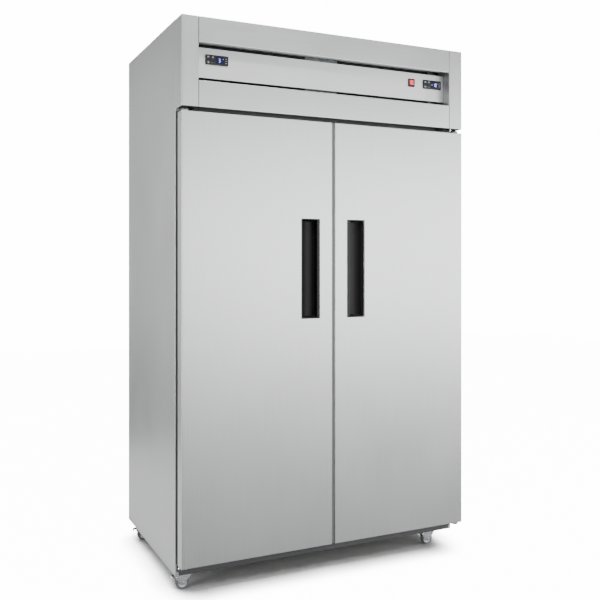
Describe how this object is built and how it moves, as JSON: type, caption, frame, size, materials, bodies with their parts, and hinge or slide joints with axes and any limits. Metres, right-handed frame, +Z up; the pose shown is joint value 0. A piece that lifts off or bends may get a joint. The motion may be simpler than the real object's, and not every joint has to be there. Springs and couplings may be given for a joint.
{
  "type": "reach in refrigerator",
  "caption": "Upright commercial reach-in refrigerator: side-by-side insulated doors with recessed pulls, a header with digital controllers and a rocker switch, and braked swivel casters.",
  "frame": {"origin": "on the floor, under the middle of the box round the whole refrigerator", "axes": "+Z up, -Y out through the doors, +X to the right for a person facing the doors"},
  "size_m": [1.22, 0.802, 2.1],
  "materials": {
    "stainless": "satin",
    "galvanised": "satin",
    "foam": "matte",
    "liner_aluminium": "satin",
    "zinc_steel": "satin",
    "control_plastic": "satin",
    "display_window": "gloss",
    "rocker_plastic": "gloss",
    "key_plastic": "satin",
    "door_liner_plastic": "satin",
    "gasket_rubber": "matte",
    "handle_plastic": "satin",
    "nylon": "satin",
    "fan_blade": "satin",
    "chrome_plate": "polished",
    "wheel_tyre": "satin",
    "compressor_paint": "gloss",
    "coil_aluminium": "satin",
    "copper": "satin",
    "evaporator_plastic": "satin",
    "shelf_coating": "gloss"
  },
  "bodies": {
    "cabinet": {"side_panel_left": "stainless", "side_panel_right": "stainless", "back_panel": "galvanised", "base_panel": "galvanised", "insulation": "foam", "liners": "liner_aluminium", "front_frame": "stainless", "machine_deck": "galvanised", "header_end_left": "stainless", "header_end_right": "stainless", "header_panels": "stainless", "control_panel": "stainless", "screws": "zinc_steel", "controller_cases": "control_plastic", "display_windows": "display_window", "switch_housing": "control_plastic", "hinge_brackets": "stainless", "caster_plates": "zinc_steel", "compressors": "compressor_paint", "condensers": "coil_aluminium", "pipework": "copper", "electrical_box": "galvanised", "evaporator_housings": "evaporator_plastic", "shelf_supports": "stainless", "wire_shelves": "shelf_coating"},
    "door_left": {"door_skin_left": "stainless", "door_foam_left": "foam", "door_liner_left": "door_liner_plastic", "door_gasket_left": "gasket_rubber", "handle_left": "handle_plastic", "hinge_bushes_left": "nylon"},
    "door_right": {"door_skin_right": "stainless", "door_foam_right": "foam", "door_liner_right": "door_liner_plastic", "door_gasket_right": "gasket_rubber", "handle_right": "handle_plastic", "hinge_bushes_right": "nylon"},
    "power_rocker": {"switch_rocker": "rocker_plastic"},
    "left_set_key": {"key_left_set": "key_plastic"},
    "left_defrost_key": {"key_left_defrost": "key_plastic"},
    "left_down_key": {"key_left_down": "key_plastic"},
    "right_set_key": {"key_right_set": "key_plastic"},
    "right_defrost_key": {"key_right_defrost": "key_plastic"},
    "right_down_key": {"key_right_down": "key_plastic"},
    "caster_front_left": {"caster_fork_front_left": "chrome_plate"},
    "tyre_front_left": {"wheel_front_left": "wheel_tyre"},
    "brake_front_left": {"brake_pedal_front_left": "chrome_plate"},
    "caster_front_right": {"caster_fork_front_right": "chrome_plate"},
    "tyre_front_right": {"wheel_front_right": "wheel_tyre"},
    "brake_front_right": {"brake_pedal_front_right": "chrome_plate"},
    "caster_rear_left": {"caster_fork_rear_left": "chrome_plate"},
    "tyre_rear_left": {"wheel_rear_left": "wheel_tyre"},
    "brake_rear_left": {"brake_pedal_rear_left": "chrome_plate"},
    "caster_rear_right": {"caster_fork_rear_right": "chrome_plate"},
    "tyre_rear_right": {"wheel_rear_right": "wheel_tyre"},
    "brake_rear_right": {"brake_pedal_rear_right": "chrome_plate"},
    "condenser_blades_left": {"condenser_fan_left": "fan_blade"},
    "evaporator_blades_left": {"evaporator_fan_left": "fan_blade"},
    "condenser_blades_right": {"condenser_fan_right": "fan_blade"},
    "evaporator_blades_right": {"evaporator_fan_right": "fan_blade"}
  },
  "joints": [
    {"name": "door_left_hinge", "type": "hinge", "parent": "cabinet", "child": "door_left", "pos_m": [-0.59, -0.374, 0.94], "axis": [0, 0, -1], "range_deg": [0, 110], "stiffness_Nm_per_rad": 1.2, "springref_deg": -14.32},
    {"name": "door_right_hinge", "type": "hinge", "parent": "cabinet", "child": "door_right", "pos_m": [0.59, -0.374, 0.94], "axis": [0, 0, 1], "range_deg": [0, 110], "stiffness_Nm_per_rad": 1.2, "springref_deg": -14.32},
    {"name": "power_rocker_tilt", "type": "hinge", "parent": "cabinet", "child": "power_rocker", "pos_m": [0.386, -0.355, 1.957], "axis": [1, 0, 0], "range_deg": [0, 24]},
    {"name": "left_set_press", "type": "slide", "parent": "cabinet", "child": "left_set_key", "axis": [0, 1, 0], "range_m": [0, 0.0008], "stiffness_N_per_m": 300},
    {"name": "left_defrost_press", "type": "slide", "parent": "cabinet", "child": "left_defrost_key", "axis": [0, 1, 0], "range_m": [0, 0.0008], "stiffness_N_per_m": 300},
    {"name": "left_down_press", "type": "slide", "parent": "cabinet", "child": "left_down_key", "axis": [0, 1, 0], "range_m": [0, 0.0008], "stiffness_N_per_m": 300},
    {"name": "right_set_press", "type": "slide", "parent": "cabinet", "child": "right_set_key", "axis": [0, 1, 0], "range_m": [0, 0.0008], "stiffness_N_per_m": 300},
    {"name": "right_defrost_press", "type": "slide", "parent": "cabinet", "child": "right_defrost_key", "axis": [0, 1, 0], "range_m": [0, 0.0008], "stiffness_N_per_m": 300},
    {"name": "right_down_press", "type": "slide", "parent": "cabinet", "child": "right_down_key", "axis": [0, 1, 0], "range_m": [0, 0.0008], "stiffness_N_per_m": 300},
    {"name": "swivel_front_left", "type": "hinge", "parent": "cabinet", "child": "caster_front_left", "pos_m": [-0.546, -0.259, 0.06], "axis": [0, 0, 1], "continuous": true},
    {"name": "roll_front_left", "type": "hinge", "parent": "caster_front_left", "child": "tyre_front_left", "pos_m": [-0.566, -0.259, 0.025], "axis": [0, 1, 0], "continuous": true},
    {"name": "brake_front_left_press", "type": "hinge", "parent": "caster_front_left", "child": "brake_front_left", "pos_m": [-0.59, -0.259, 0.047], "axis": [0, -1, 0], "range_deg": [0, 18]},
    {"name": "swivel_front_right", "type": "hinge", "parent": "cabinet", "child": "caster_front_right", "pos_m": [0.546, -0.259, 0.06], "axis": [0, 0, 1], "continuous": true},
    {"name": "roll_front_right", "type": "hinge", "parent": "caster_front_right", "child": "tyre_front_right", "pos_m": [0.526, -0.259, 0.025], "axis": [0, 1, 0], "continuous": true},
    {"name": "brake_front_right_press", "type": "hinge", "parent": "caster_front_right", "child": "brake_front_right", "pos_m": [0.502, -0.259, 0.047], "axis": [0, -1, 0], "range_deg": [0, 18]},
    {"name": "swivel_rear_left", "type": "hinge", "parent": "cabinet", "child": "caster_rear_left", "pos_m": [-0.546, 0.321, 0.06], "axis": [0, 0, 1], "continuous": true},
    {"name": "roll_rear_left", "type": "hinge", "parent": "caster_rear_left", "child": "tyre_rear_left", "pos_m": [-0.566, 0.321, 0.025], "axis": [0, 1, 0], "continuous": true},
    {"name": "brake_rear_left_press", "type": "hinge", "parent": "caster_rear_left", "child": "brake_rear_left", "pos_m": [-0.59, 0.321, 0.047], "axis": [0, -1, 0], "range_deg": [0, 18]},
    {"name": "swivel_rear_right", "type": "hinge", "parent": "cabinet", "child": "caster_rear_right", "pos_m": [0.546, 0.321, 0.06], "axis": [0, 0, 1], "continuous": true},
    {"name": "roll_rear_right", "type": "hinge", "parent": "caster_rear_right", "child": "tyre_rear_right", "pos_m": [0.526, 0.321, 0.025], "axis": [0, 1, 0], "continuous": true},
    {"name": "brake_rear_right_press", "type": "hinge", "parent": "caster_rear_right", "child": "brake_rear_right", "pos_m": [0.502, 0.321, 0.047], "axis": [0, -1, 0], "range_deg": [0, 18]},
    {"name": "condenser_fan_left_spin", "type": "hinge", "parent": "cabinet", "child": "condenser_blades_left", "pos_m": [-0.292, -0.205, 1.9232], "axis": [0, 1, 0], "continuous": true},
    {"name": "evaporator_fan_left_spin", "type": "hinge", "parent": "cabinet", "child": "evaporator_blades_left", "pos_m": [-0.2985, 0.184, 1.628], "axis": [0, 1, 0], "continuous": true},
    {"name": "condenser_fan_right_spin", "type": "hinge", "parent": "cabinet", "child": "condenser_blades_right", "pos_m": [0.292, -0.205, 1.9232], "axis": [0, 1, 0], "continuous": true},
    {"name": "evaporator_fan_right_spin", "type": "hinge", "parent": "cabinet", "child": "evaporator_blades_right", "pos_m": [0.2985, 0.184, 1.628], "axis": [0, 1, 0], "continuous": true}
  ]
}
